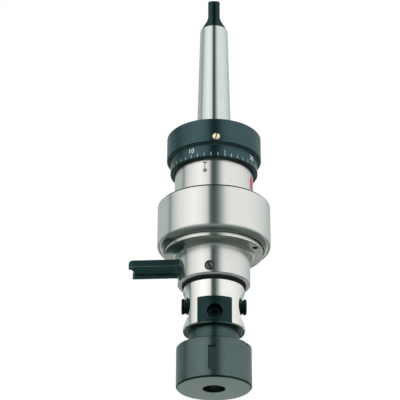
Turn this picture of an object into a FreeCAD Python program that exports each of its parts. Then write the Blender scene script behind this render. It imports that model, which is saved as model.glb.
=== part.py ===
import FreeCAD, Part
import math
import os
from FreeCAD import Vector

# Tapping head: Morse taper shank, adjustable torque limiter, planetary reversing gear held by a stop
# arm, floating spindle with four clamp screws, collet and collet nut.
# Millimetres. The origin is the centre of the nut's lower face, +Z runs up along the axis to the tang.
# Angles are measured in degrees from -Y (the front) towards +X. The stop arm points along -X.

# Clearances
RUN = 0.05            # radial running clearance between turning fits
FREE = 0.3            # free gap between faces of bodies that only pass each other

# Edge breaks
FINE = 0.3
EDGE = 0.5
BROAD = 0.8

# Morse taper No. 2 with tang
TAPER = 0.04995
TAPER_LARGE_R = 9.0
TAPER_LENGTH = 64.0
TAPER_CHAMFER = 0.5
TANG_LENGTH = 16.0
TANG_R = 6.75
TANG_THICKNESS = 6.3
TANG_RUNOUT_R = 6.0
TANG_CHAMFER = 1.0
TANG_ANGLE = 7.0
SHANK_NECK = 2.8      # plain length between the torque ring and the taper
SHANK_UNDERCUT = 0.4
THREAD_RELIEF = 0.6

# Collet nut
NUT_HEIGHT = 21.0
NUT_FACE_T = 3.0
NUT_HOLE_R = 5.7
NUT_WALL = 3.75
NUT_THREAD_INSET = 0.5   # from the spindle's radius in to the thread
NUT_SLOT_W = 3.9
NUT_SLOT_DEPTH = 1.5
NUT_SLOT_BELOW = 4.0
NUT_SLOT_LENGTH = 12.2
NUT_SLOTS = 3
NUT_ANGLE = 4.1
NOTCH_ANGLE = 68.0
NOTCH_W = 2.4
NOTCH_DEPTH = 1.4

# Collet and the nose that it sits in
COLLET_BORE_R = 4.0
COLLET_LENGTH = 20.0
COLLET_LARGE_R = 9.6
COLLET_CONE = 8.0
COLLET_SLITS = 6
COLLET_SLIT_W = 0.8
COLLET_SLIT_END = 4.0   # uncut length at one end of each slit
COLLET_ANGLE = 10.0
NOSE_RELIEF = 2.5      # depth of the collar above the nut's thread
NOSE_FLANGE_INSET = 0.2
NOSE_FLANGE_T = 0.5
NOSE_HEIGHT = 8.7     # visible collar between nut and spindle
NOSE_THREAD_LENGTH = 13.5
NOSE_SCREW_R = 1.25
NOSE_SCREW_HEAD_R = 2.0
NOSE_SCREW_HEAD_H = 2.5
NOSE_SCREW_LENGTH = 8.0
NOSE_SCREW_AT = 10.2
NOSE_SCREW_SUNK = 6.7   # from the spindle's end down to the screw heads

# Spindle
SPINDLE_R = 15.5
SPINDLE_VISIBLE = 22.6
SPINDLE_ANGLE = 8.5
SPINDLE_BORE_R = 6.5
SPINDLE_BORE_DEPTH = 24.0
SHAFT_R = 6.5
PILOT_R = 5.0
PILOT_LENGTH = 8.0
SCOOP_R = 15.0
SCOOP_DEPTH = 3.5
SCOOP_ABOVE_END = 11.0
FLOAT_UP = 2.0
FLOAT_DOWN = 2.0

# Clamp screws and the blocks in the spindle's slot
SLOT_W = 17.2
SLOT_H = 13.5
BLOCK_INNER = 6.2
SCREW_R = 4.0
SCREW_HEX = 4.0
SCREW_HEX_DEPTH = 2.6
PAD_R = 2.5
PAD_T = 1.4
FRONT_SCREW_ABOVE_END = 5.4
FRONT_SCREW_RECESS = 3.6
FRONT_SCREW_LENGTH = 4.6
SIDE_SCREW_ABOVE_END = 13.4
SIDE_SCREW_PROUD = 0.85
SIDE_SCREW_LENGTH = 8.6
SIDE_GROOVE_W = 0.9
SIDE_GROOVE_DEPTH = 0.5
SIDE_GROOVE_AT = 1.6
SEAT_R = 4.9          # ring let into the scoop round a side screw
SEAT_AT = 11.0        # from the main axis to the ring's inner face
SEAT_T = 1.9

# Neck, seal and flange
NECK_WALL = 2.05
NECK_LENGTH = 16.6
NECK_FILLET = 2.4
BUSH_WALL = 0.75
BUSH_BELOW_SHELF = 2.0
SEAL_BELOW = 2.2
SEAL_ABOVE = 2.5
SEAL_LIP = 0.1         # gap between the seal's lower edge and the spindle
SEAL_COLLAR = 0.3
FLANGE_VISIBLE = 2.4
COVER_GAP = 1.2         # free gap between the cover and the gears
SPANNER_INSET = 2.15    # from the flange's edge to a spanner hole's middle
SPANNER_HOLE_R = 1.6
SPANNER_HOLE_DEPTH = 4.0
SPANNER_ANGLE = 70.8
GRUB_R = 1.95
GRUB_SUNK = 0.3
GRUB_CHAMFER = 0.7
GRUB_ABOVE = 3.8
GRUB_SLOT_W = 0.6
GRUB_SLOT_DEPTH = 0.9
GRUB_SLOT_ANGLE = 65.0

# Stop arm
ARM_REACH = 24.55
ARM_ANGLE = 3.5
ARM_WIDTH = 16.3
ARM_T = 3.9
ARM_RIB_W = 3.6
ARM_GROOVE = 0.6
ARM_CORNER_R = 2.5
ARM_EDGE_R = 0.8
ARM_TIP_R = 1.9
ARM_NOTCH_R = 12.9
ARM_NOTCH_DEPTH = 2.1
ARM_NOTCH_BACK = 2.0    # how far behind the arm's middle the notch's centre lies
ARM_TOP_ABOVE = 11.9
ARM_WRAP = 2.3        # how far the arm's end reaches round the neck
ARM_TENON_W = 10.0
ARM_TENON_INSET = 0.3

# Housing
GEAR_ROOM = 1.0625     # gap round the ring gear
HOUSING_HEIGHT = 24.5
HOUSING_WALL = 3.5
HOUSING_TOP_T = 4.0
HOUSING_ROUND = 3.0
HOUSING_MOUTH = 0.65    # gap round the flange at the mouth
HOUSING_MOUTH_DEPTH = 1.6
HOUSING_LAND = 0.1     # flat between the mouth and the bottom rounding
SLEEVE_GAP = 0.4       # gap between the housing's top and the sleeve

# Thin ball bearing between sleeve and housing
BEARING_SECTION = 6.0
BEARING_W = 7.0
RACE_FLOOR = 1.1       # metal between a ball and the far side of its ring
RACE_GROOVE = 0.6
BEARING_BALLS = 18
CAGE_T = 0.8
CAGE_INSET = 0.8

# Drive sleeve
SLEEVE_WALL = 3.5      # between the shank's hub and the bearing
SLEEVE_SHOULDER = 2.85
SLEEVE_VISIBLE = 18.3
SLEEVE_FLARE = 1.5     # cone between the bearing seat and the visible sleeve
HUB_R = 14.0
HUB_ABOVE = 0.9
SLEEVE_OVERLAP = 0.8

# Reversing gear
MODULE = 0.75
RING_TEETH = 57
SUN_TEETH = 33
PLANET_TEETH = 12
PLANETS = 3
PRESSURE_ANGLE = 25.0
BACKLASH = 0.22
ADDENDUM = 0.9
DEDENDUM = 1.15
GEAR_W = 4.4
RING_WALL = 2.2
PIN_R = 1.5
WEB_T = 1.8
SUN_HUB_R = 11.4
SUN_HUB_DEPTH = 4.6
SHELF_T = 1.5

# Double cone clutch
CONE_ANGLE = 15.0
CLUTCH_LARGE_R = 9.4
CLUTCH_LAND = 1.6
CLUTCH_CONE_H = 6.0
SHAFT_LAND = 1.0
CUP_GAP = 0.3

# Torque limiter and its adjusting ring
RING_SKIRT = 1.9
RING_HEIGHT = 13.6
RING_WEB_T = 3.5
SCALE_VISIBLE = 7.2
SCALE_GAP = 0.3
SCALE_WALL = 2.0
SCALE_ROOM = 0.35      # gap round the sleeve
SCALE_CHAMFER = 0.5
SCALE_SEAT = 6.0
SCALE_GROOVE = 0.8
LOCK_SCREW_R = 1.75
LOCK_SCREW_ABOVE = 3.1
LOCK_SCREW_ANGLE = 9.7
LOCK_HOLE_R = 2.1
LOCK_SLOT_W = 0.6
LOCK_SLOT_DEPTH = 0.7
LOCK_SCREW_PROUD = 0.1
PLATE_T = 2.4
PRESSURE_T = 3.4
STACK_WALL = 0.5
DISC_T = 0.8
DISCS = 6
TORQUE_BALLS = 8
TORQUE_BALL_R = 1.6
BALL_RISE = 0.2       # height of the ball centres over the sleeve's top
PLATE_RISE = 0.4      # gap between the sleeve's top and the detent plate

# Centring spring of the float
SPRING_WIRE_R = 0.6
SPRING_R = 4.2
SPRING_TURNS = 5
SPRING_LENGTH = 12.0
SPRING_GAP = 0.1

# Levels along the axis, worked out from the nut's face upwards
Z_COLLET = NUT_FACE_T + FREE
Z_SPINDLE = NUT_HEIGHT + NOSE_HEIGHT
Z_NECK = Z_SPINDLE + SPINDLE_VISIBLE + SEAL_BELOW
Z_SEAL_TOP = Z_NECK + SEAL_ABOVE
Z_GRUB = Z_NECK + GRUB_ABOVE
Z_ARM_TOP = Z_NECK + ARM_TOP_ABOVE
Z_FLANGE = Z_NECK + NECK_LENGTH
Z_HOUSING = Z_FLANGE + FLANGE_VISIBLE
Z_HOUSING_TOP = Z_HOUSING + HOUSING_HEIGHT
Z_BEARING_TOP = Z_HOUSING_TOP - HOUSING_TOP_T
Z_BEARING = Z_BEARING_TOP - BEARING_W
Z_BEARING_MIDDLE = Z_BEARING_TOP - BEARING_W / 2.0
Z_WEB_TOP = Z_BEARING - FREE
Z_WEB = Z_WEB_TOP - WEB_T
Z_CUP = Z_WEB + FREE
Z_GEAR_TOP = Z_WEB - FREE
Z_GEAR = Z_GEAR_TOP - GEAR_W
Z_COVER_TOP = Z_GEAR - COVER_GAP
Z_HUB = Z_GEAR - SUN_HUB_DEPTH
Z_SHELF = Z_HUB - FREE - SHELF_T
Z_SHOULDER = Z_SHELF - FLOAT_UP - FREE
Z_CLUTCH_MID = (Z_GEAR_TOP + Z_CUP) / 2.0
Z_PILOT = Z_CLUTCH_MID + CLUTCH_LAND / 2.0 + CLUTCH_CONE_H + SHAFT_LAND
Z_PILOT_TOP = Z_PILOT + PILOT_LENGTH
Z_SPRING = Z_PILOT_TOP + PLATE_T
Z_SCALE = Z_HOUSING_TOP + SLEEVE_VISIBLE
Z_SLEEVE_TOP = Z_SCALE + SLEEVE_OVERLAP
Z_PLATE = Z_SLEEVE_TOP + PLATE_RISE
Z_RING = Z_SCALE + SCALE_VISIBLE + SCALE_GAP
Z_LOCK = Z_RING + LOCK_SCREW_ABOVE
Z_RING_TOP = Z_RING + RING_HEIGHT
Z_PRESSURE = Z_RING_TOP - RING_WEB_T - PRESSURE_T
Z_HUB_TOP = Z_RING_TOP + HUB_ABOVE
Z_TAPER = Z_RING_TOP + SHANK_NECK
Z_TANG = Z_TAPER + TAPER_LENGTH
Z_TIP = Z_TANG + TANG_LENGTH

# Sizes that follow from others
NUT_THREAD_R = SPINDLE_R - NUT_THREAD_INSET
NUT_R = NUT_THREAD_R + NUT_WALL
NOSE_R = NUT_THREAD_R - NOSE_RELIEF
NOSE_FLANGE_R = SPINDLE_R - NOSE_FLANGE_INSET
SIDE_SCREW_OUT = SPINDLE_R + SIDE_SCREW_PROUD
BUSH_R = SPINDLE_R + RUN + BUSH_WALL
NECK_R = BUSH_R + NECK_WALL
ARM_TIP = NECK_R + ARM_REACH
BEARING_BORE_R = HUB_R + SLEEVE_WALL
BEARING_OUTER_R = BEARING_BORE_R + BEARING_SECTION
BEARING_MIDDLE_R = BEARING_BORE_R + BEARING_SECTION / 2.0
BEARING_BALL_R = BEARING_SECTION / 2.0 - RACE_FLOOR
RACE_T = RACE_FLOOR + RACE_GROOVE
SLEEVE_R = BEARING_BORE_R + SLEEVE_SHOULDER
SCALE_R = SLEEVE_R + SCALE_ROOM + SCALE_WALL
STACK_R = SCALE_R - SCALE_WALL - STACK_WALL
RING_R = SCALE_R + RING_SKIRT
PLANET_CENTRE_R = MODULE * (SUN_TEETH + PLANET_TEETH) / 2.0
RING_GEAR_R = MODULE * (RING_TEETH / 2.0 + DEDENDUM) + RING_WALL
HOUSING_R = RING_GEAR_R + GEAR_ROOM + HOUSING_WALL
FLANGE_R = HOUSING_R - HOUSING_ROUND - HOUSING_LAND - HOUSING_MOUTH
SPANNER_R = FLANGE_R - SPANNER_INSET
DISC_PITCH = (Z_PRESSURE - Z_PLATE - PLATE_T) / DISCS
CONE_SLOPE = math.tan(math.radians(CONE_ANGLE))
COLLET_SLOPE = math.tan(math.radians(COLLET_CONE))

UP = Vector(0, 0, 1)
AXIS = Vector(0, 0, 0)


def turned(shape, angle):
    """The shape turned about the main axis by an angle in degrees."""
    copy = shape.copy()
    copy.rotate(AXIS, UP, angle)
    return copy


def disc(r, z0, z1, x=0.0, y=0.0):
    """A solid round bar from level z0 to z1."""
    return Part.makeCylinder(r, z1 - z0, Vector(x, y, z0))


def tube(r_out, r_in, z0, z1):
    return disc(r_out, z0, z1).cut(disc(r_in, z0 - 1, z1 + 1))


def revolved(points):
    """A solid of revolution from a closed outline of (radius, level) points."""
    loop = [Vector(r, 0, z) for r, z in points]
    face = Part.Face(Part.makePolygon(loop + [loop[0]]))
    return face.revolve(AXIS, UP, 360)


def front_bar(r, near, far, z):
    """A round bar along -Y, from radius far to radius near, at level z."""
    return Part.makeCylinder(r, far - near, Vector(0, -far, z), Vector(0, 1, 0))


def box(x0, x1, y0, y1, z0, z1):
    return Part.makeBox(x1 - x0, y1 - y0, z1 - z0, Vector(x0, y0, z0))


def hexagon(across, near, far, z):
    """A hexagonal bar along -Y, for a socket."""
    corner = across / math.sqrt(3)
    angles = [math.radians(60 * k) for k in range(6)]
    points = [Vector(corner * math.cos(a), -far, z + corner * math.sin(a)) for a in angles]
    face = Part.Face(Part.makePolygon(points + [points[0]]))
    return face.extrude(Vector(0, far - near, 0))


def joined(shapes):
    return Part.makeCompound(shapes)


def involute(angle):
    return math.tan(angle) - angle


def gear_outline(teeth, inside):
    """Corner points of a spur gear, with a tooth on +X, or a tooth space there for an inside gear."""
    pressure = math.radians(PRESSURE_ANGLE)
    pitch_r = MODULE * teeth / 2.0
    base_r = pitch_r * math.cos(pressure)
    sign = -1 if inside else 1
    tip_r = pitch_r + sign * MODULE * ADDENDUM
    root_r = pitch_r - sign * MODULE * DEDENDUM
    half_at_pitch = math.pi / (2 * teeth) - sign * BACKLASH / (4 * pitch_r)
    low, high = min(tip_r, root_r), max(tip_r, root_r)
    radii = [low + (high - low) * k / 4.0 for k in range(5)]
    flank = []
    for r in radii:
        at = math.acos(min(1.0, base_r / max(r, base_r)))
        flank.append((r, half_at_pitch + involute(pressure) - involute(at)))
    points = []
    for k in range(teeth):
        middle = 2 * math.pi * k / teeth
        for r, half in flank:
            points.append(Vector(r * math.cos(middle - half), r * math.sin(middle - half), 0))
        for r, half in reversed(flank):
            points.append(Vector(r * math.cos(middle + half), r * math.sin(middle + half), 0))
    return points


def gear_prism(teeth, z0, z1, inside=False):
    points = gear_outline(teeth, inside)
    face = Part.Face(Part.makePolygon(points + [points[0]]))
    prism = face.extrude(Vector(0, 0, z1 - z0))
    prism.translate(Vector(0, 0, z0))
    return prism


def morse_shank():
    """Tang, ground taper, plain neck and the threaded hub, in one piece."""
    small_r = TAPER_LARGE_R - TAPER_LENGTH * TAPER / 2.0
    neck_r = TAPER_LARGE_R - SHANK_UNDERCUT
    body = revolved([(0, Z_CUP), (HUB_R, Z_CUP), (HUB_R, Z_HUB_TOP - THREAD_RELIEF),
                     (HUB_R - THREAD_RELIEF, Z_HUB_TOP), (neck_r, Z_HUB_TOP),
                     (neck_r, Z_TAPER - SHANK_UNDERCUT), (TAPER_LARGE_R, Z_TAPER),
                     (small_r, Z_TANG - TAPER_CHAMFER), (small_r - TAPER_CHAMFER, Z_TANG), (0, Z_TANG)])
    body = body.cut(spindle_cavity())
    return body.fuse(tang()).removeSplitter()


def tang():
    """Flat tongue: two flats run out in a milling cutter's radius above the taper."""
    bar = revolved([(0, Z_TANG - 1), (TANG_R, Z_TANG - 1), (TANG_R, Z_TIP - TANG_CHAMFER),
                    (TANG_R - TANG_CHAMFER, Z_TIP), (0, Z_TIP)])
    half = TANG_THICKNESS / 2.0
    z_flat = Z_TANG + TANG_RUNOUT_R
    for side in (-1, 1):
        flat = box(half, 2 * TANG_R, -2 * TANG_R, 2 * TANG_R, z_flat, Z_TIP + 1)
        runout = Part.makeCylinder(TANG_RUNOUT_R, 4 * TANG_R,
                                   Vector(half + TANG_RUNOUT_R, -2 * TANG_R, z_flat), Vector(0, 1, 0))
        cutter = flat.fuse(runout)
        if side < 0:
            cutter = cutter.mirror(AXIS, Vector(1, 0, 0))
        bar = bar.cut(cutter)
    return turned(bar, TANG_ANGLE)


def cone_bore(z_mouth, r_mouth, height, upwards):
    """A tapering bore that starts at its mouth and narrows with the clutch's cone angle."""
    step = height if upwards else -height
    r_end = r_mouth - height * CONE_SLOPE
    start = z_mouth - (1 if upwards else -1)
    return revolved([(0, start), (r_mouth + CONE_SLOPE, start), (r_end, z_mouth + step), (0, z_mouth + step)])


def spindle_cavity():
    """The forward cup and the bore for the pilot and its spring, in the shank's lower end."""
    cup = cone_bore(Z_CUP, cup_radius(Z_CUP, FLOAT_UP, 1), Z_PILOT + FLOAT_UP - Z_CUP, True)
    pilot = disc(PILOT_R + RUN, Z_CUP, Z_SPRING + SPRING_LENGTH)
    shaft = disc(SHAFT_R + FREE, Z_CUP, Z_PILOT + FLOAT_UP + EDGE)
    return cup.fuse([pilot, shaft])


def cup_radius(z, travel, side):
    """Bore radius of a cup at level z, when the clutch has its free gap after its full travel."""
    edge = Z_CLUTCH_MID + side * (CLUTCH_LAND / 2.0 + travel)
    return CLUTCH_LARGE_R + CUP_GAP - side * (z - edge) * CONE_SLOPE


def drive_sleeve():
    """The visible sleeve with the index line, and the bearing seat inside the housing."""
    body = revolved([(HUB_R, Z_WEB), (BEARING_BORE_R, Z_WEB), (BEARING_BORE_R, Z_BEARING_TOP),
                     (SLEEVE_R - SLEEVE_FLARE, Z_BEARING_TOP), (SLEEVE_R, Z_BEARING_TOP + SLEEVE_FLARE),
                     (SLEEVE_R, Z_SLEEVE_TOP - EDGE), (SLEEVE_R - EDGE, Z_SLEEVE_TOP),
                     (HUB_R, Z_SLEEVE_TOP)])
    return body.cut(joined(torque_ball_list()))


def torque_ball_list():
    middle = (HUB_R + SLEEVE_R) / 2.0
    balls = []
    for k in range(TORQUE_BALLS):
        a = 2 * math.pi * k / TORQUE_BALLS
        balls.append(Part.makeSphere(TORQUE_BALL_R, Vector(middle * math.cos(a), middle * math.sin(a),
                                                           Z_SLEEVE_TOP + BALL_RISE)))
    return balls


def detent_plate():
    plate = tube(STACK_R, HUB_R, Z_PLATE, Z_PLATE + PLATE_T)
    return plate.cut(joined(torque_ball_list()))


def disc_springs():
    """Conical washers, stacked back to back."""
    inside, outside = HUB_R + FREE, STACK_R
    rise = DISC_PITCH - DISC_T
    washers = []
    for k in range(DISCS):
        z = Z_PLATE + PLATE_T + k * DISC_PITCH
        z_in, z_out = (z + rise, z) if k % 2 == 0 else (z, z + rise)
        washers.append(revolved([(inside, z_in), (outside, z_out), (outside, z_out + DISC_T),
                                 (inside, z_in + DISC_T)]))
    return joined(washers)


def pressure_ring():
    return tube(STACK_R, HUB_R + RUN, Z_PRESSURE, Z_RING_TOP - RING_WEB_T)


def torque_ring():
    """Black adjusting ring: a threaded web on the hub and a skirt over the scale ring."""
    top = Z_RING_TOP
    body = revolved([(HUB_R + RUN, top - RING_WEB_T), (SCALE_R, top - RING_WEB_T), (SCALE_R, Z_RING),
                     (RING_R - EDGE, Z_RING), (RING_R, Z_RING + EDGE), (RING_R, top - EDGE),
                     (RING_R - EDGE, top), (HUB_R + RUN, top)])
    hole = turned(front_bar(LOCK_HOLE_R, SCALE_R - 1, RING_R + 1, Z_LOCK), LOCK_SCREW_ANGLE)
    return body.cut(hole)


def scale_ring():
    """Graduated ring, with a groove under the black ring and a seat inside it."""
    inside = SCALE_R - SCALE_WALL
    seat_top = Z_RING + SCALE_SEAT
    groove = SCALE_R - SCALE_GROOVE
    body = revolved([(inside, Z_SCALE), (SCALE_R - SCALE_CHAMFER, Z_SCALE),
                     (SCALE_R, Z_SCALE + SCALE_CHAMFER),
                     (SCALE_R, Z_RING - SCALE_GAP), (groove, Z_RING - SCALE_GAP), (groove, Z_RING),
                     (SCALE_R, Z_RING), (SCALE_R, seat_top), (inside, seat_top)])
    hole = front_bar(LOCK_SCREW_R, inside - 1, SCALE_R + 1, Z_LOCK)
    return body.cut(turned(hole, LOCK_SCREW_ANGLE))


def ring_lock_screw():
    """Slotted brass screw, through the black ring into the scale ring."""
    face = RING_R + LOCK_SCREW_PROUD
    bar = front_bar(LOCK_SCREW_R, SCALE_R - SCALE_WALL, face, Z_LOCK)
    slot = box(-LOCK_SLOT_W / 2, LOCK_SLOT_W / 2, -face - 1, -face + LOCK_SLOT_DEPTH,
               Z_LOCK - 2 * LOCK_SCREW_R, Z_LOCK + 2 * LOCK_SCREW_R)
    return turned(bar.cut(slot), LOCK_SCREW_ANGLE)


def race(r_in, r_out):
    """One ring of the ball bearing, with the balls' groove."""
    groove = Part.makeTorus(BEARING_MIDDLE_R, BEARING_BALL_R + RUN, Vector(0, 0, Z_BEARING_MIDDLE))
    return tube(r_out, r_in, Z_BEARING, Z_BEARING_TOP).cut(groove)


def bearing_ball_list():
    balls = []
    for k in range(BEARING_BALLS):
        a = 2 * math.pi * k / BEARING_BALLS
        x, y = BEARING_MIDDLE_R * math.cos(a), BEARING_MIDDLE_R * math.sin(a)
        balls.append(Part.makeSphere(BEARING_BALL_R, Vector(x, y, Z_BEARING_MIDDLE)))
    return balls


def bearing_cage():
    """A thin band between the rings, with a pocket for each ball."""
    half = CAGE_T / 2.0
    band = tube(BEARING_MIDDLE_R + half, BEARING_MIDDLE_R - half, Z_BEARING + CAGE_INSET,
                Z_BEARING_TOP - CAGE_INSET)
    pocket = front_bar(BEARING_BALL_R + RUN, BEARING_MIDDLE_R - 1, BEARING_MIDDLE_R + 1, Z_BEARING_MIDDLE)
    turns = [90 + 360.0 * k / BEARING_BALLS for k in range(BEARING_BALLS)]
    return band.cut(joined([turned(pocket, turn) for turn in turns]))


def ring_gear():
    """Inside gear with a web that sits on the sleeve's lower end."""
    rim = disc(RING_GEAR_R, Z_GEAR, Z_WEB).cut(gear_prism(RING_TEETH, Z_GEAR, Z_WEB, True))
    return rim.fuse(tube(RING_GEAR_R, BEARING_BORE_R, Z_WEB, Z_WEB_TOP)).removeSplitter()


def planet(k):
    """A planet with a tooth that points away from the main axis."""
    body = gear_prism(PLANET_TEETH, Z_GEAR, Z_GEAR_TOP)
    body = body.cut(disc(PIN_R + RUN, Z_GEAR - 1, Z_GEAR_TOP + 1))
    body.translate(Vector(PLANET_CENTRE_R, 0, 0))
    return turned(body, 360.0 * k / PLANETS)


def planet_pins():
    pin = disc(PIN_R, Z_COVER_TOP, Z_GEAR_TOP, PLANET_CENTRE_R)
    return joined([turned(pin, 360.0 * k / PLANETS) for k in range(PLANETS)])


def reverse_sun():
    """Sun gear with its running hub, bored through as the reverse cup."""
    teeth = turned(gear_prism(SUN_TEETH, Z_GEAR, Z_GEAR_TOP), 180.0 / SUN_TEETH)
    body = teeth.fuse(disc(SUN_HUB_R, Z_HUB, Z_GEAR_TOP))
    mouth_r = cup_radius(Z_GEAR_TOP, FLOAT_DOWN, -1)
    cup = cone_bore(Z_GEAR_TOP, mouth_r, Z_GEAR_TOP - Z_HUB + 1, False)
    return body.cut(cup).removeSplitter()


def housing():
    """The large shell: a top wall round the sleeve, a bore for the bearing and an open mouth."""
    r = HOUSING_R
    bore = BEARING_OUTER_R
    wide = r - HOUSING_WALL
    mouth = FLANGE_R + HOUSING_MOUTH
    top_r = SLEEVE_R + SLEEVE_GAP
    z0, z1 = Z_HOUSING, Z_HOUSING_TOP
    z_step = z0 + HOUSING_MOUTH_DEPTH
    body = revolved([(top_r, Z_BEARING_TOP), (bore, Z_BEARING_TOP), (bore, Z_BEARING),
                     (wide, Z_BEARING - FINE), (wide, Z_COVER_TOP), (FLANGE_R, Z_COVER_TOP),
                     (FLANGE_R, z_step + HOUSING_MOUTH), (mouth, z_step), (mouth, z0), (r, z0),
                     (r, z1 - BROAD), (r - BROAD, z1), (top_r + FINE, z1), (top_r, z1 - FINE)])
    rim = [e for e in body.Edges if e.BoundBox.ZMax < z0 + 0.01 and e.BoundBox.XMax > r - 0.01]
    return body.makeFillet(HOUSING_ROUND, rim)


def flange_cover():
    """Screwed cover with the neck, the shelf under the sun gear and the spanner holes."""
    z_floor = Z_SHELF + SHELF_T
    hub_r, shaft_r = SUN_HUB_R + RUN, SHAFT_R + FREE
    body = revolved([(BUSH_R, Z_NECK), (NECK_R - FINE, Z_NECK), (NECK_R, Z_NECK + FINE), (NECK_R, Z_FLANGE),
                     (FLANGE_R - FINE, Z_FLANGE), (FLANGE_R, Z_FLANGE + FINE), (FLANGE_R, Z_COVER_TOP),
                     (hub_r, Z_COVER_TOP), (hub_r, z_floor), (shaft_r, z_floor), (shaft_r, Z_SHELF),
                     (BUSH_R, Z_SHELF)])
    corner = [e for e in body.Edges if abs(e.BoundBox.ZMin - Z_FLANGE) < 0.01
              and abs(e.BoundBox.ZMax - Z_FLANGE) < 0.01 and abs(e.BoundBox.XMax - NECK_R) < 0.01]
    body = body.makeFillet(NECK_FILLET, corner)
    hole = disc(SPANNER_HOLE_R, Z_FLANGE - 1, Z_FLANGE + SPANNER_HOLE_DEPTH, 0, -SPANNER_R)
    cuts = [turned(hole, SPANNER_ANGLE), turned(hole, SPANNER_ANGLE + 180), grub_hole(), arm_tenon()]
    return body.cut(joined(cuts))


def grub_hole():
    """Tapped hole in the neck for the slotted screw, with a bright countersink."""
    hole = front_bar(GRUB_R, BUSH_R - 1, NECK_R + 1, Z_GRUB)
    sink = Part.makeCone(GRUB_R + GRUB_CHAMFER + 1, GRUB_R, GRUB_CHAMFER + 1,
                         Vector(0, -NECK_R - 1, Z_GRUB), Vector(0, 1, 0))
    return hole.fuse(sink)


def arm_lock_screw():
    """Slotted grub screw in the neck."""
    face = NECK_R - GRUB_SUNK
    bar = front_bar(GRUB_R, BUSH_R - 1, face, Z_GRUB).cut(disc(BUSH_R, Z_NECK, Z_FLANGE))
    slot = box(-GRUB_R - 1, GRUB_R + 1, -face - 1, -face + GRUB_SLOT_DEPTH,
               Z_GRUB - GRUB_SLOT_W / 2, Z_GRUB + GRUB_SLOT_W / 2)
    slot.rotate(Vector(0, -face, Z_GRUB), Vector(0, 1, 0), GRUB_SLOT_ANGLE)
    return bar.cut(slot)


def spindle_bush():
    return tube(BUSH_R, SPINDLE_R + RUN, Z_SEAL_TOP, Z_SHELF - BUSH_BELOW_SHELF)


def dust_seal():
    """Black ring in the neck's mouth, with a lip that tapers down the spindle."""
    inside = SPINDLE_R + SEAL_LIP
    return revolved([(inside, Z_NECK - SEAL_BELOW), (inside + SEAL_COLLAR, Z_NECK - SEAL_BELOW),
                     (BUSH_R, Z_NECK), (BUSH_R, Z_SEAL_TOP), (inside, Z_SEAL_TOP)])


def arm_tenon():
    """The arm's root, let into the neck's wall."""
    half = ARM_TENON_W / 2.0
    bar = box(-NECK_R - 1, 0, -half, half, Z_ARM_TOP - ARM_T + ARM_TENON_INSET, Z_ARM_TOP - ARM_TENON_INSET)
    return turned(bar.cut(disc(BUSH_R, Z_NECK, Z_FLANGE)), ARM_ANGLE)


def arm_tip_cuts(z0, z1):
    """What the arm's tip loses: its top edge, rounded, and a notch for the rod that stops it."""
    over = ARM_WIDTH
    start = Vector(ARM_TIP_R - ARM_TIP, -over, z1 - ARM_TIP_R)
    bar = Part.makeCylinder(ARM_TIP_R, 2 * over, start, Vector(0, 1, 0))
    edge = box(-ARM_TIP - 1, ARM_TIP_R - ARM_TIP, -over, over, z1 - ARM_TIP_R, z1 + 1).cut(bar)
    notch = disc(ARM_NOTCH_R, z0 - 1, z1 + 1, ARM_NOTCH_DEPTH - ARM_TIP - ARM_NOTCH_R, ARM_NOTCH_BACK)
    return [edge, notch]


def stop_arm():
    """Channel arm, open downwards, that hugs the neck."""
    z0, z1 = Z_ARM_TOP - ARM_T, Z_ARM_TOP
    half = ARM_WIDTH / 2.0
    rib = half - ARM_RIB_W
    plate = box(-ARM_TIP, 0, -half, half, z0, z1)
    corners = [e for e in plate.Edges if e.BoundBox.ZLength > ARM_T / 2 and e.BoundBox.XMax < -ARM_TIP + 1
               and e.BoundBox.YMax < 0]
    plate = plate.makeFillet(ARM_CORNER_R, corners)
    rims = [e for e in plate.Edges if e.BoundBox.ZMin > z1 - 0.01 and e.BoundBox.YMin < -half + 0.01]
    plate = plate.makeFillet(ARM_EDGE_R, rims)
    groove = box(-ARM_TIP - 1, 1, -rib, rib, z0 - 1, z0 + ARM_GROOVE)
    plate = plate.cut(joined([groove, disc(NECK_R, z0 - 1, z1 + 1)] + arm_tip_cuts(z0, z1)))
    plate = plate.common(box(-ARM_TIP, -NECK_R + ARM_WRAP, -half, half, z0, z1))
    return turned(plate, ARM_ANGLE).fuse(arm_tenon()).removeSplitter()


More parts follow.
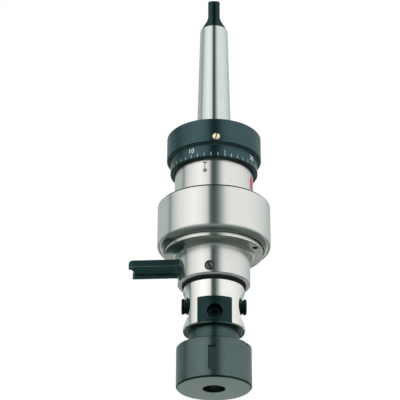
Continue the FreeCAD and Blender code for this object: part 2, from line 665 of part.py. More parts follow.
def spindle():
    """Spindle body with its slot, scoops, tap bore, shaft and double cone."""
    z0 = Z_SPINDLE
    small = CLUTCH_LARGE_R - CLUTCH_CONE_H * CONE_SLOPE
    z_low, z_high = Z_CLUTCH_MID - CLUTCH_LAND / 2.0, Z_CLUTCH_MID + CLUTCH_LAND / 2.0
    body = revolved([(0, z0), (SPINDLE_R - FINE, z0), (SPINDLE_R, z0 + FINE), (SPINDLE_R, Z_SHOULDER - EDGE),
                     (SPINDLE_R - EDGE, Z_SHOULDER), (SHAFT_R, Z_SHOULDER), (SHAFT_R, z_low - CLUTCH_CONE_H),
                     (small, z_low - CLUTCH_CONE_H), (CLUTCH_LARGE_R, z_low), (CLUTCH_LARGE_R, z_high),
                     (small, z_high + CLUTCH_CONE_H), (SHAFT_R, z_high + CLUTCH_CONE_H), (SHAFT_R, Z_PILOT),
                     (PILOT_R, Z_PILOT), (PILOT_R, Z_PILOT_TOP - EDGE), (PILOT_R - EDGE, Z_PILOT_TOP),
                     (0, Z_PILOT_TOP)])
    cuts = [disc(SPINDLE_BORE_R, z0 - 1, z0 + SPINDLE_BORE_DEPTH),
            box(-SLOT_W / 2, SLOT_W / 2, -SPINDLE_R - 1, SPINDLE_R + 1, z0 - 1, z0 + SLOT_H)]
    for side in (-1, 1):
        scoop = Vector(side * (SPINDLE_R - SCOOP_DEPTH + SCOOP_R), -SPINDLE_R - 1, z0 + SCOOP_ABOVE_END)
        thread = Vector(0, 0, z0 + SIDE_SCREW_ABOVE_END)
        cuts.append(Part.makeCylinder(SCOOP_R, 2 * SPINDLE_R + 2, scoop, Vector(0, 1, 0)))
        cuts.append(Part.makeCylinder(SCREW_R + RUN, SPINDLE_R, thread, Vector(side, 0, 0)))
        cuts.append(side_bar(SEAT_R, SEAT_AT, SPINDLE_R, side))
        cuts.append(nose_screw(side))
    return turned(body.cut(joined(cuts)), SPINDLE_ANGLE)


def side_bar(r, near, far, side):
    """A round bar on a side screw's axis, from radius near to radius far."""
    start = Vector(side * near, 0, Z_SPINDLE + SIDE_SCREW_ABOVE_END)
    return Part.makeCylinder(r, far - near, start, Vector(side, 0, 0))


def screw_seats():
    """Black rings in the scoops, which the side screws pass through."""
    far = SEAT_AT + SEAT_T
    rings = [side_bar(SEAT_R, SEAT_AT, far, side).cut(side_bar(SCREW_R + RUN, SEAT_AT - 1, far + 1, side))
             for side in (-1, 1)]
    return turned(joined(rings), SPINDLE_ANGLE)


def jaw_block(back):
    """Black block flush in the slot, threaded for a clamp screw."""
    z0 = Z_SPINDLE
    block = box(-SLOT_W / 2, SLOT_W / 2, -SPINDLE_R, -BLOCK_INNER, z0, z0 + SLOT_H)
    block = block.common(disc(SPINDLE_R, z0, z0 + SLOT_H)).cut(disc(SPINDLE_BORE_R, z0 - 1, z0 + SLOT_H + 1))
    block = block.cut(front_bar(SCREW_R + RUN, 0, SPINDLE_R + 1, z0 + FRONT_SCREW_ABOVE_END))
    block = block.cut(side_screw_room())
    return turned(block, SPINDLE_ANGLE + back)


def side_screw_room():
    """The side screws' way through the slot's upper corner."""
    start = Vector(-SPINDLE_R, 0, Z_SPINDLE + SIDE_SCREW_ABOVE_END)
    return Part.makeCylinder(SCREW_R + FREE, 2 * SPINDLE_R, start, Vector(1, 0, 0))


def clamp_screw(outer, length, z, grooved):
    """Socket set screw along -Y, with its outer face at radius outer."""
    bar = front_bar(SCREW_R, outer - length, outer, z)
    bar = bar.makeChamfer(EDGE, [e for e in bar.Edges if e.BoundBox.YMax < -outer + 0.01])
    bar = bar.cut(hexagon(SCREW_HEX, outer - SCREW_HEX_DEPTH, outer + 1, z))
    if grooved:
        near = outer - SIDE_GROOVE_AT - SIDE_GROOVE_W
        neck = front_bar(SCREW_R + 1, near, near + SIDE_GROOVE_W, z)
        neck = neck.cut(front_bar(SCREW_R - SIDE_GROOVE_DEPTH, near - 1, near + 2, z))
        bar = bar.cut(neck)
    return bar


def clamp_pad(outer, length, z):
    return front_bar(PAD_R, outer - length - PAD_T, outer - length, z)


def clamp_places():
    """Name, turn from the front, outer radius, length and level of each clamp screw."""
    front = (SPINDLE_R - FRONT_SCREW_RECESS, FRONT_SCREW_LENGTH, Z_SPINDLE + FRONT_SCREW_ABOVE_END, False)
    side = (SIDE_SCREW_OUT, SIDE_SCREW_LENGTH, Z_SPINDLE + SIDE_SCREW_ABOVE_END, True)
    return [("front", 0, front), ("right", 90, side), ("back", 180, front), ("left", 270, side)]


def cone_r(z, gap=0.0):
    """Radius of the collet's cone at level z, or of the nose's bore round it."""
    return COLLET_LARGE_R - (z - Z_COLLET) * COLLET_SLOPE + gap


def collet_nose():
    """Black collar with a thin flange, the nut's thread and the collet's tapered seat."""
    z0, z1 = NUT_FACE_T + 2 * FREE, Z_SPINDLE
    thread = NUT_THREAD_R - RUN
    z_thread = z0 + NOSE_THREAD_LENGTH
    z_flange = z1 - NOSE_FLANGE_T
    z_seat = Z_COLLET + COLLET_LENGTH + 1
    body = revolved([(cone_r(z0, FREE), z0), (thread - BROAD, z0), (thread, z0 + BROAD),
                     (thread, z_thread - BROAD), (thread - BROAD, z_thread), (NOSE_R, z_thread),
                     (NOSE_R, z_flange - EDGE), (NOSE_R + EDGE, z_flange), (NOSE_FLANGE_R, z_flange),
                     (NOSE_FLANGE_R, z1), (SPINDLE_BORE_R, z1), (cone_r(z_seat, FREE), z_seat)])
    return turned(body.cut(joined([nose_screw(-1), nose_screw(1)])), SPINDLE_ANGLE)


def nose_screw(side):
    """Cap screw that holds the nose to the spindle: head in the nose, stem in the spindle."""
    z_head = Z_SPINDLE - NOSE_SCREW_SUNK
    x = side * NOSE_SCREW_AT
    stem = disc(NOSE_SCREW_R, z_head, z_head + NOSE_SCREW_HEAD_H + NOSE_SCREW_LENGTH, x)
    return stem.fuse(disc(NOSE_SCREW_HEAD_R, z_head, z_head + NOSE_SCREW_HEAD_H, x))


def nose_screws():
    return turned(joined([nose_screw(-1), nose_screw(1)]), SPINDLE_ANGLE)


def collet():
    """Slit collet with its cone upwards and a face on the nut's floor."""
    z0 = Z_COLLET
    z1 = z0 + COLLET_LENGTH
    body = revolved([(COLLET_BORE_R, z0 - FREE), (COLLET_LARGE_R - EDGE, z0 - FREE), (COLLET_LARGE_R, z0),
                     (cone_r(z1 - EDGE), z1 - EDGE), (cone_r(z1) - EDGE, z1), (COLLET_BORE_R, z1)])
    half = COLLET_SLIT_W / 2.0
    from_below = box(COLLET_BORE_R - 1, COLLET_LARGE_R + 1, -half, half, z0 - 1, z1 - COLLET_SLIT_END)
    from_above = box(COLLET_BORE_R - 1, COLLET_LARGE_R + 1, -half, half, z0 + COLLET_SLIT_END, z1 + 1)
    for k in range(COLLET_SLITS):
        slit = from_below if k % 2 == 0 else from_above
        body = body.cut(turned(slit, 360.0 * k / COLLET_SLITS + COLLET_ANGLE))
    return body


def collet_nut():
    """Round nut with spanner slots, an index notch and a flat face with the tap's hole."""
    body = revolved([(NUT_HOLE_R, 0), (NUT_R - BROAD, 0), (NUT_R, BROAD), (NUT_R, NUT_HEIGHT - EDGE),
                     (NUT_R - EDGE, NUT_HEIGHT), (NUT_THREAD_R, NUT_HEIGHT), (NUT_THREAD_R, NUT_FACE_T),
                     (NUT_HOLE_R, NUT_FACE_T)])
    for k in range(NUT_SLOTS):
        slot = box(-NUT_SLOT_W / 2, NUT_SLOT_W / 2, -NUT_R - 1, -NUT_R + NUT_SLOT_DEPTH, NUT_SLOT_BELOW,
                   NUT_SLOT_BELOW + NUT_SLOT_LENGTH)
        body = body.cut(turned(slot, NUT_ANGLE + 360.0 * k / NUT_SLOTS))
    notch = box(-NOTCH_W / 2, NOTCH_W / 2, -NUT_R - 1, -NUT_R + NOTCH_DEPTH,
                NUT_HEIGHT - NOTCH_DEPTH, NUT_HEIGHT + 1)
    return body.cut(turned(notch, NOTCH_ANGLE))


def float_collar():
    """Plain washer on the pilot's end, under the spring."""
    return disc(PILOT_R - FINE, Z_PILOT_TOP + RUN, Z_SPRING)


def centring_spring():
    """Round wire coil between the float collar and the end of the shank's bore."""
    z0 = Z_SPRING + SPRING_WIRE_R + SPRING_GAP
    pitch = (SPRING_LENGTH - 2 * (SPRING_WIRE_R + SPRING_GAP)) / SPRING_TURNS
    path = Part.makeHelix(pitch, pitch * SPRING_TURNS, SPRING_R)
    path.translate(Vector(0, 0, z0))
    wire = Part.Wire(Part.makeCircle(SPRING_WIRE_R, Vector(SPRING_R, 0, z0), Vector(0, 1, 0)).Edges)
    return Part.Wire(path.Edges).makePipeShell([wire], True, True)


def pieces():
    """Every node's shape by name."""
    nodes = {
        "morse_shank": morse_shank(), "drive_sleeve": drive_sleeve(),
        "torque_balls": joined(torque_ball_list()), "detent_plate": detent_plate(),
        "disc_springs": disc_springs(), "pressure_ring": pressure_ring(),
        "torque_ring": torque_ring(), "scale_ring": scale_ring(), "ring_lock_screw": ring_lock_screw(),
        "bearing_inner_race": race(BEARING_BORE_R, BEARING_BORE_R + RACE_T),
        "bearing_outer_race": race(BEARING_OUTER_R - RACE_T, BEARING_OUTER_R),
        "bearing_balls": joined(bearing_ball_list()), "bearing_cage": bearing_cage(),
        "ring_gear": ring_gear(), "planet_pins": planet_pins(), "reverse_sun": reverse_sun(),
        "housing": housing(), "flange_cover": flange_cover(), "spindle_bush": spindle_bush(),
        "dust_seal": dust_seal(), "stop_arm": stop_arm(), "arm_lock_screw": arm_lock_screw(),
        "float_collar": float_collar(), "centring_spring": centring_spring(), "spindle": spindle(),
        "jaw_block_front": jaw_block(0), "jaw_block_back": jaw_block(180), "collet_nose": collet_nose(),
        "nose_screws": nose_screws(), "screw_seats": screw_seats(), "collet": collet(),
        "collet_nut": collet_nut(),
    }
    for k in range(PLANETS):
        nodes["planet_gear_%d" % (k + 1)] = planet(k)
    for name, angle, (outer, length, z, grooved) in clamp_places():
        turn = SPINDLE_ANGLE + angle
        nodes["clamp_screw_" + name] = turned(clamp_screw(outer, length, z, grooved), turn)
        nodes["clamp_pad_" + name] = turned(clamp_pad(outer, length, z), turn)
    return nodes


os.makedirs("parts", exist_ok=True)
for node, shape in sorted(pieces().items()):
    print("%-20s solids %d volume %.1f valid %s" % (node, len(shape.Solids), shape.Volume, shape.isValid()))
    shape.exportStep("parts/%s.step" % node)
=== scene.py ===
# %% [markdown]
# A tapping head, dressed in Blender around its imported solids.
# The object is a column of turned steel pieces: a Morse taper shank, a black torque ring with a white
# scale, a brushed housing with a stop arm, a bright spindle and a dark collet nut. The solids give every
# size and place, so this file only adds finishes, the painted scale and marks, the domed head of one small
# screw, welded copies of the springs, light and a camera.

# %% Load the frame
import bmesh
import bpy
import math
from mathutils import Matrix, Vector


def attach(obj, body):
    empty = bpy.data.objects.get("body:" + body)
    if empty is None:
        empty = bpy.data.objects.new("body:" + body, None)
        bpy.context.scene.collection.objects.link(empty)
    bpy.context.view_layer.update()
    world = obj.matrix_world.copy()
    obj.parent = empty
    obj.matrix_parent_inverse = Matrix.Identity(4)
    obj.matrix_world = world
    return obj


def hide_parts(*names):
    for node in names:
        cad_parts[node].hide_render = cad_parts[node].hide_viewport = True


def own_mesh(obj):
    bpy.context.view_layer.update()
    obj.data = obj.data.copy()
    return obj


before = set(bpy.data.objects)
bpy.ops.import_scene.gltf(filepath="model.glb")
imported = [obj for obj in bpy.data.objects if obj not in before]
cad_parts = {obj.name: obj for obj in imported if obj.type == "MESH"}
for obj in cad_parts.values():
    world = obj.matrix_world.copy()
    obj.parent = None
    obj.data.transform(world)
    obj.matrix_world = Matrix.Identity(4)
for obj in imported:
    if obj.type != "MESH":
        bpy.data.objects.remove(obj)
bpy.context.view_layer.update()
MM = 0.001


# %% [markdown]
# Colours are written as sRGB hex values, the way a paint chart gives them. Blender's sockets want linear
# light, so one function turns the one into the other.

# %% Colours
def srgb(hex_text):
    """Linear RGBA from a hex colour such as 40565a, fully opaque."""
    parts = [int(hex_text[k:k + 2], 16) / 255.0 for k in (0, 2, 4)]
    linear = [c / 12.92 if c <= 0.04045 else ((c + 0.055) / 1.055) ** 2.4 for c in parts]
    return (*linear, 1.0)


print("mid grey in linear light:", round(srgb("808080")[0], 3))


# %% [markdown]
# The camera stands below the head and looks up at it, a little from its right front. Its distance and
# lens come from fitting the standard taper and the widths of the rings: 748.7 mm in front of the axis and
# 252.9 mm under the nut's face, with a long lens that is pitched up by 25.4 degrees. The axis is a little
# right of the middle of the frame, which takes a small sideways shift.

# %% Camera
FRAME_PX = 400.0
FOCAL_PX = 1600.0
AXIS_PX = 213.95
SENSOR_MM = 36.0
CAMERA_PITCH = 25.4
CAMERA_AZIMUTH = 7.0
CAMERA_OUT = 748.7 * MM
CAMERA_DOWN = 252.9 * MM


def placed(name, data):
    """A new object in the scene, at the origin."""
    thing = bpy.data.objects.new(name, data)
    bpy.context.scene.collection.objects.link(thing)
    return thing


def make_camera():
    """The photograph's view, as the numbers above give it."""
    data = bpy.data.cameras.new("camera")
    data.sensor_width = SENSOR_MM
    data.lens = FOCAL_PX / FRAME_PX * SENSOR_MM
    data.shift_x = (FRAME_PX / 2.0 - AXIS_PX) / FRAME_PX
    camera = placed("camera", data)
    turn = math.radians(CAMERA_AZIMUTH)
    camera.location = (math.sin(turn) * CAMERA_OUT, -math.cos(turn) * CAMERA_OUT, -CAMERA_DOWN)
    camera.rotation_euler = (math.radians(90.0 + CAMERA_PITCH), 0.0, turn)
    bpy.context.scene.camera = camera
    return camera


camera = make_camera()
print("lens", round(camera.data.lens, 1), "mm, shift", round(camera.data.shift_x, 4))


# %% [markdown]
# What a polished cylinder shows is the room. Each strip of it mirrors the wall at twice the strip's own
# angle from the camera. So the world is a round room whose brightness changes with the angle: a bright
# window wall on the left, a sharp dark gap beside the camera, a softer and even wall on the right, and a
# greyer back. The ceiling is dark on the camera's left and fainter on its right, which darkens edges that
# lean upwards. A grey skirting runs round the foot of the walls. Only reflections see the room. The camera
# sees a white background.

# %% World, floor and lamps
ROOM_STRENGTH = 1.25
FILL_STRENGTH = 0.55     # the even light that matt surfaces receive
# Angle from the camera in degrees, positive to its right, and the wall's brightness there.
ROOM = ((-180, 0.42), (-106, 0.46), (-100, 0.05), (-94, 0.52), (-75, 0.76), (-42, 1.0), (-22, 0.86),
        (-11, 0.62), (-9, 0.06), (4, 0.06), (13, 0.28), (25, 0.72), (36, 0.82), (80, 0.78), (110, 0.66),
        (150, 0.44), (180, 0.42))
DARK_GREEN = (0.38, 0.0, 0.05)   # share of each colour that the walls lose where they are darkest
# The ceiling and the skirting fade between two elevations in degrees.
CEILING_FROM = 44.0
CEILING_TO = 56.0
CEILING_COLOUR = "0e1413"
CEILING_RIGHT = 0.3      # share of the dark that is left on the right
CEILING_TURN = 0.3       # how far right that share is reached, as the sine of the angle
SKIRTING_FROM = 2.0
SKIRTING_TO = 11.0
SKIRTING_COLOUR = "4a5653"
FLOOR_DROP = 420.0 * MM
FLOOR_HALF = 6.0
PAPER_COLOUR = "f4f4f2"
# Distance behind the head in metres, and the tone that the floor mirrors there.
FLOOR_DEPTH = 2.0
FLOOR_TONES = ((-1.3, "98a39f"), (-0.9, "6b7673"), (-0.3, "46514f"), (-0.1, "2e3a38"), (0.35, "2e3a38"),
               (0.9, "57625f"), (1.18, "57625f"), (1.27, "f2f6f4"), (1.5, "f2f6f4"), (1.9, "6f7a76"))
# Out to the sides the floor mirrors one tone, which fades in between two distances in metres.
FLOOR_SIDES = "59645f"
SIDES_FROM = 0.05
SIDES_TO = 0.3
# Both lamps hang at one height and face the head's middle. Angles are in degrees, sizes in metres.
LAMPS = (("left_softbox", -50.0), ("right_softbox", 55.0))
LAMP_ELEVATION = 25.0
LAMP_DISTANCE = 1.2
LAMP_SIZE = 0.9
LAMP_WATTS = 9.0
HEAD_MIDDLE = 0.1


def add_node(tree, kind, settings=None, inputs=None):
    """One node with its settings, and its inputs as values or as the sockets that feed them."""
    made = tree.nodes.new(kind)
    for name, value in (settings or {}).items():
        setattr(made, name, value)
    for name, value in (inputs or {}).items():
        if isinstance(value, bpy.types.NodeSocket):
            tree.links.new(value, made.inputs[name])
        else:
            made.inputs[name].default_value = value
    return made


def new_tree(name):
    """An empty material and its node tree."""
    material = bpy.data.materials.new(name)
    material.use_nodes = True
    material.node_tree.nodes.clear()
    return material, material.node_tree


def object_place(tree):
    """A point's place in metres, measured in the piece's own frame."""
    return add_node(tree, "ShaderNodeTexCoord").outputs["Object"]


def surface_out(tree, surface):
    """Makes a shader what the material shows."""
    add_node(tree, "ShaderNodeOutputMaterial", None, {"Surface": surface})


def maths(tree, operation, *values):
    """One step of arithmetic on numbers or sockets."""
    return add_node(tree, "ShaderNodeMath", {"operation": operation}, dict(enumerate(values))).outputs[0]


def ranged(tree, value, low, high, to_low=0.0, to_high=1.0):
    """A value with the range low to high spread over another range, and held at its ends."""
    return add_node(tree, "ShaderNodeMapRange", None,
                    {"Value": value, "From Min": low, "From Max": high,
                     "To Min": to_low, "To Max": to_high}).outputs[0]


def blend(tree, share, first, second, kind="MIX"):
    """The first colour, and the second one as far as the share goes."""
    return add_node(tree, "ShaderNodeMix", {"data_type": "RGBA", "blend_type": kind},
                    {0: share, 6: first, 7: second}).outputs[2]


def colour_ramp(tree, share, stops):
    """A colour that changes with a share of 0 to 1, from stops of (share, colour)."""
    ramp = add_node(tree, "ShaderNodeValToRGB", None, {0: share})
    made = ramp.color_ramp.elements
    made[0].position, made[1].position = 0.0, 1.0
    while len(made) < len(stops):
        made.new(0.5)
    for stop, (at, _) in zip(made, stops):
        stop.position = at
    for stop, (_, colour) in zip(made, stops):
        stop.color = colour
    return ramp.outputs[0]


def make_world():
    """White to the camera, the room to reflections, and an even light to everything else."""
    world = bpy.data.worlds.new("studio")
    bpy.context.scene.world = world
    world.use_nodes = True
    tree = world.node_tree
    tree.nodes.clear()
    path = add_node(tree, "ShaderNodeLightPath")
    fill = add_node(tree, "ShaderNodeBackground", None, {"Color": srgb("ffffff"), "Strength": FILL_STRENGTH})
    white = add_node(tree, "ShaderNodeBackground", None, {"Color": srgb("ffffff"), "Strength": 1.0})
    room = add_node(tree, "ShaderNodeBackground", None,
                    {"Color": room_colour(tree), "Strength": ROOM_STRENGTH})
    plain = add_node(tree, "ShaderNodeMixShader", None,
                     {0: path.outputs["Is Camera Ray"], 1: fill.outputs[0], 2: white.outputs[0]})
    mix = add_node(tree, "ShaderNodeMixShader", None,
                   {0: path.outputs["Is Glossy Ray"], 1: plain.outputs[0], 2: room.outputs[0]})
    add_node(tree, "ShaderNodeOutputWorld", None, {"Surface": mix.outputs[0]})


def risen(tree, height, low, high):
    """0 below one elevation and 1 above another, both in degrees, from the height of a direction."""
    return ranged(tree, height, math.sin(math.radians(low)), math.sin(math.radians(high)))


def room_colour(tree):
    """The room's grey as a colour ramp over the angle from the camera, under a dark ceiling."""
    way = add_node(tree, "ShaderNodeTexCoord").outputs["Generated"]
    turned = add_node(tree, "ShaderNodeVectorRotate", {"rotation_type": "Z_AXIS"},
                      {"Vector": way, "Angle": -math.radians(CAMERA_AZIMUTH)})
    part = add_node(tree, "ShaderNodeSeparateXYZ", None, {0: turned.outputs[0]})
    front = maths(tree, "MULTIPLY", part.outputs[1], -1.0)
    angle = maths(tree, "ARCTAN2", part.outputs[0], front)
    share = maths(tree, "MULTIPLY_ADD", angle, 0.5 / math.pi, 0.5)
    walls = []
    for degrees, bright in ROOM:
        dark = (1.0 - bright) ** 2
        walls.append((0.5 + degrees / 360.0, (*[bright * (1.0 - loss * dark) for loss in DARK_GREEN], 1.0)))
    wall = colour_ramp(tree, share, walls)
    left = ranged(tree, part.outputs[0], CEILING_TURN, 0.0, CEILING_RIGHT)
    roof = maths(tree, "MULTIPLY", risen(tree, part.outputs[2], CEILING_FROM, CEILING_TO), left)
    roofed = blend(tree, roof, wall, srgb(CEILING_COLOUR))
    lift = risen(tree, part.outputs[2], SKIRTING_FROM, SKIRTING_TO)
    return blend(tree, lift, srgb(SKIRTING_COLOUR), roofed)


def make_floor():
    """A large square sheet far below the head. It is scenery, and no piece of the part."""
    mesh = bpy.data.meshes.new("floor")
    corners = ((-1, -1), (1, -1), (1, 1), (-1, 1))
    mesh.from_pydata([(x * FLOOR_HALF, y * FLOOR_HALF, -FLOOR_DROP) for x, y in corners], [], [(0, 1, 2, 3)])
    floor = placed("floor", mesh)
    mesh.materials.append(floor_material())


def floor_material():
    """Pale seamless paper. Reflections see it dark under the camera and light behind the head."""
    material, tree = new_tree("pale seamless paper")
    turn = math.radians(CAMERA_AZIMUTH)
    place = object_place(tree)
    behind = add_node(tree, "ShaderNodeVectorMath", {"operation": "DOT_PRODUCT"},
                      {0: place, 1: (-math.sin(turn), math.cos(turn), 0.0)})
    share = maths(tree, "MULTIPLY_ADD", behind.outputs["Value"], 0.5 / FLOOR_DEPTH, 0.5)
    stops = [(0.5 + 0.5 * at / FLOOR_DEPTH, srgb(colour)) for at, colour in FLOOR_TONES]
    middle = colour_ramp(tree, share, stops)
    across = add_node(tree, "ShaderNodeVectorMath", {"operation": "DOT_PRODUCT"},
                      {0: place, 1: (math.cos(turn), math.sin(turn), 0.0)})
    beside = ranged(tree, maths(tree, "ABSOLUTE", across.outputs["Value"]), SIDES_FROM, SIDES_TO)
    tone = blend(tree, beside, middle, srgb(FLOOR_SIDES), "LIGHTEN")
    path = add_node(tree, "ShaderNodeLightPath")
    paper = add_node(tree, "ShaderNodeBsdfDiffuse", None, {"Color": srgb(PAPER_COLOUR)})
    mirrored = add_node(tree, "ShaderNodeEmission", None, {"Color": tone})
    mix = add_node(tree, "ShaderNodeMixShader", None,
                   {0: path.outputs["Is Glossy Ray"], 1: paper.outputs[0], 2: mirrored.outputs[0]})
    surface_out(tree, mix.outputs[0])
    return material


def make_lamp(name, azimuth):
    """A round softbox at an angle from the camera, positive to its right."""
    data = bpy.data.lights.new(name, "AREA")
    data.shape = "DISK"
    data.size = LAMP_SIZE
    data.energy = LAMP_WATTS
    lamp = placed(name, data)
    a, e = math.radians(CAMERA_AZIMUTH + azimuth), math.radians(LAMP_ELEVATION)
    back = Vector((math.sin(a) * math.cos(e), -math.cos(a) * math.cos(e), math.sin(e)))
    lamp.location = Vector((0.0, 0.0, HEAD_MIDDLE)) + back * LAMP_DISTANCE
    lamp.rotation_euler = back.to_track_quat("Z", "Y").to_euler()
    lamp.visible_glossy = False


make_world()
make_floor()
for name, azimuth in LAMPS:
    make_lamp(name, azimuth)
bpy.context.scene.view_settings.view_transform = "Standard"
print("the room has", len(ROOM), "stops")


# %% [markdown]
# Every piece of this head is metal, apart from the seal. What tells the pieces apart is how their surface
# was made. A turned or ground surface has fine lines that run round the axis, so its highlights stretch
# along the axis. Noise that is squeezed along Z makes those lines, because a slice at one height is a
# circle. Real tool marks are under 0.1 mm apart, so they are drawn about 0.4 mm apart to show at all.

# %% Metal materials
LINE_PITCH = 0.4 * MM
LINE_SQUEEZE = 0.01
LINE_DEPTH = 0.01 * MM
LINE_NOISE = {"Detail": 3.0, "Roughness": 0.6}
LINE_SHARE = 0.5         # of the tool lines, against the patches, in the colour and the gloss
BLOTCH_SIZE = 9.0 * MM
BLOTCH_NOISE = {"Detail": 4.0, "Roughness": 0.55}
# What the lines and the patches add up to, from where to where it changes the colour and the gloss.
COLOUR_RANGE = (0.5, 1.0)
GLOSS_RANGE = (0.4, 1.1)
GLOSS_SPREAD = 0.1       # how much of its roughness a surface gains or loses from place to place
CORNER_FROM = 0.99       # cosine between the bevelled and the true normal where rubbing starts, and where
CORNER_TO = 0.86         # it is complete


def metal_shader(tree, colour, shade, roughness, lines=0.1, along="Z", stretch=0.85, wear=0.0, worn="8f9894",
                 bare=1.0, glance="ffffff"):
    """Machined metal: colour, a darker shade in patches, tool lines in the bump, and rubbed edges. An oxide
    skin hides a share of the bare metal and scatters light there, and tints what glances off it."""
    place = object_place(tree)
    squeeze = [LINE_SQUEEZE if axis != along else 1.0 for axis in "XYZ"]
    mapped = add_node(tree, "ShaderNodeMapping", None, {"Vector": place, "Scale": squeeze})
    marks = add_node(tree, "ShaderNodeTexNoise", None,
                     {"Vector": mapped.outputs[0], "Scale": 1.0 / LINE_PITCH, **LINE_NOISE})
    patches = add_node(tree, "ShaderNodeTexNoise", None,
                       {"Vector": place, "Scale": 1.0 / BLOTCH_SIZE, **BLOTCH_NOISE})
    both = maths(tree, "MULTIPLY_ADD", marks.outputs["Fac"], LINE_SHARE, patches.outputs["Fac"])
    skin = blend(tree, ranged(tree, both, *COLOUR_RANGE), srgb(shade), srgb(colour))
    if wear:
        skin = worn_and_highlit_edges(tree, skin, patches.outputs["Fac"], wear, worn)
    gloss = ranged(tree, both, *GLOSS_RANGE,
                   roughness * (1.0 - GLOSS_SPREAD), roughness * (1.0 + GLOSS_SPREAD))
    bump = add_node(tree, "ShaderNodeBump", None,
                    {"Height": marks.outputs["Fac"], "Strength": lines, "Distance": LINE_DEPTH})
    spin = add_node(tree, "ShaderNodeTangent", {"direction_type": "RADIAL", "axis": "Z"})
    shader = add_node(tree, "ShaderNodeBsdfPrincipled", None,
                      {"Base Color": skin, "Metallic": bare, "Roughness": gloss,
                       "Specular Tint": srgb(glance), "Normal": bump.outputs[0], "Tangent": spin.outputs[0],
                       "Anisotropic": stretch, "Anisotropic Rotation": 0.25})
    return shader.outputs[0]


def metal(name, *finish, **more):
    """A material with one metal finish all over."""
    material, tree = new_tree(name)
    surface_out(tree, metal_shader(tree, *finish, **more))
    return material


def zone_mask(tree, z_low=None, z_high=None, r_high=None):
    """1 between two levels and inside a radius, all in millimetres, and 0 elsewhere."""
    place = object_place(tree)
    height = add_node(tree, "ShaderNodeSeparateXYZ", None, {0: place}).outputs[2]
    flat = add_node(tree, "ShaderNodeVectorMath", {"operation": "MULTIPLY"}, {0: place, 1: (1.0, 1.0, 0.0)})
    radius = add_node(tree, "ShaderNodeVectorMath", {"operation": "LENGTH"},
                      {0: flat.outputs[0]}).outputs["Value"]
    mask = 1.0
    for value, limit, test in ((height, z_low, "GREATER_THAN"), (height, z_high, "LESS_THAN"),
                               (radius, r_high, "LESS_THAN")):
        if limit is not None:
            mask = maths(tree, "MULTIPLY", maths(tree, test, value, limit * MM), mask)
    return mask


def metal_zones(name, main, *zones):
    """A main finish and other finishes inside zones of one piece, as (zone, finish)."""
    material, tree = new_tree(name)
    surface = metal_shader(tree, **main)
    for zone, finish in zones:
        mixed = {0: zone_mask(tree, **zone), 1: surface, 2: metal_shader(tree, **finish)}
        surface = add_node(tree, "ShaderNodeMixShader", None, mixed).outputs[0]
    surface_out(tree, surface)
    return material


def worn_and_highlit_edges(tree, skin, patches, wear, worn):
    """Bare metal where hands and spanners rub the corners, found by comparing the bevelled normal. Set wide
    and pale, as on the stop arm, the rubbed edges are also painted highlights.
    """
    soft = add_node(tree, "ShaderNodeBevel", {"samples": 4}, {"Radius": wear * MM})
    hard = add_node(tree, "ShaderNodeNewGeometry")
    same = add_node(tree, "ShaderNodeVectorMath", {"operation": "DOT_PRODUCT"},
                    {0: soft.outputs[0], 1: hard.outputs["Normal"]})
    edge = ranged(tree, same.outputs["Value"], CORNER_FROM, CORNER_TO)
    return blend(tree, maths(tree, "MULTIPLY", edge, patches), skin, srgb(worn))


print("tool lines in a millimetre:", round(MM / LINE_PITCH, 1))


# %% [markdown]
# Most pieces have one finish all over. A few change it at a level or at a radius: where a piece was left
# rough or rubbed bright, where shade is painted into it, or where it is coloured near black. These zones are
# the piece's own levels and radii in millimetres.

# %% Zones with a finish of their own
ZONES = {
    "tang": {"z_low": 204.3},
    "lock screw's slot": {"r_high": 24.75},
    "gap between the rings": {"z_low": 123.05, "z_high": 123.85},
    "housing's top chamfer": {"z_low": 96.95, "z_high": 97.97},
    "round the set screw": {"z_low": 55.2, "z_high": 61.4, "r_high": 18.3},
    "set screw's slot": {"r_high": 17.9},
    "neck's lower face": {"z_high": 54.55},
    "spindle's scoops": {"r_high": 15.45},
    "nut's notch": {"z_low": 19.5, "z_high": 20.95, "r_high": 18.6},
    "nut's lower face": {"z_high": 0.05},
}
print("zones:", len(ZONES))


# %% Metal finishes
# Ground alloy steel of the taper: fine and bright, with a cool tint. Its tang is blued nearly black by the
# hardening fire.
ground_taper = metal_zones(
    "ground taper, blued tang", {"colour": "dfe5e3", "shade": "d4dbd9", "roughness": 0.22},
    (ZONES["tang"], {"colour": "3a4c50", "shade": "2c3d41", "roughness": 0.3}))
# Satin turned steel of the housing, sleeve and neck.
satin = {"colour": "efeeea", "shade": "e8e7e2", "roughness": 0.25, "lines": 0.04}
satin_steel = metal_zones("satin turned steel", satin)
# The same on the neck, with painted shade in the countersink round the set screw: it is coloured dark
# grey there. The neck's lower face is only blasted, so it is matt.
satin_neck = metal_zones(
    "satin turned steel of the neck", satin,
    (ZONES["round the set screw"], {"colour": "4c5653", "shade": "39423f", "roughness": 0.4, "stretch": 0.0}),
    (ZONES["neck's lower face"],
     {"colour": "efeeea", "shade": "e0dfda", "roughness": 0.5, "stretch": 0.0, "bare": 0.5}))
# The same on the housing, whose top chamfer is coloured nearly black: a painted shade line where the housing
# meets the sleeve.
satin_shell = metal_zones(
    "satin turned steel of the housing", satin,
    (ZONES["housing's top chamfer"],
     {"colour": "252d2b", "shade": "1c2321", "roughness": 0.4, "stretch": 0.0}))
# Fine ground spindle: the brightest steel of all. The scoops in its sides were polished after milling, so
# they mirror the black screws.
bright_steel = metal_zones(
    "bright ground spindle steel", {"colour": "fbf8f3", "shade": "f3f0ea", "roughness": 0.2, "lines": 0.05},
    (ZONES["spindle's scoops"],
     {"colour": "f6f5f2", "shade": "eeedea", "roughness": 0.07, "lines": 0.02, "stretch": 0.0}))
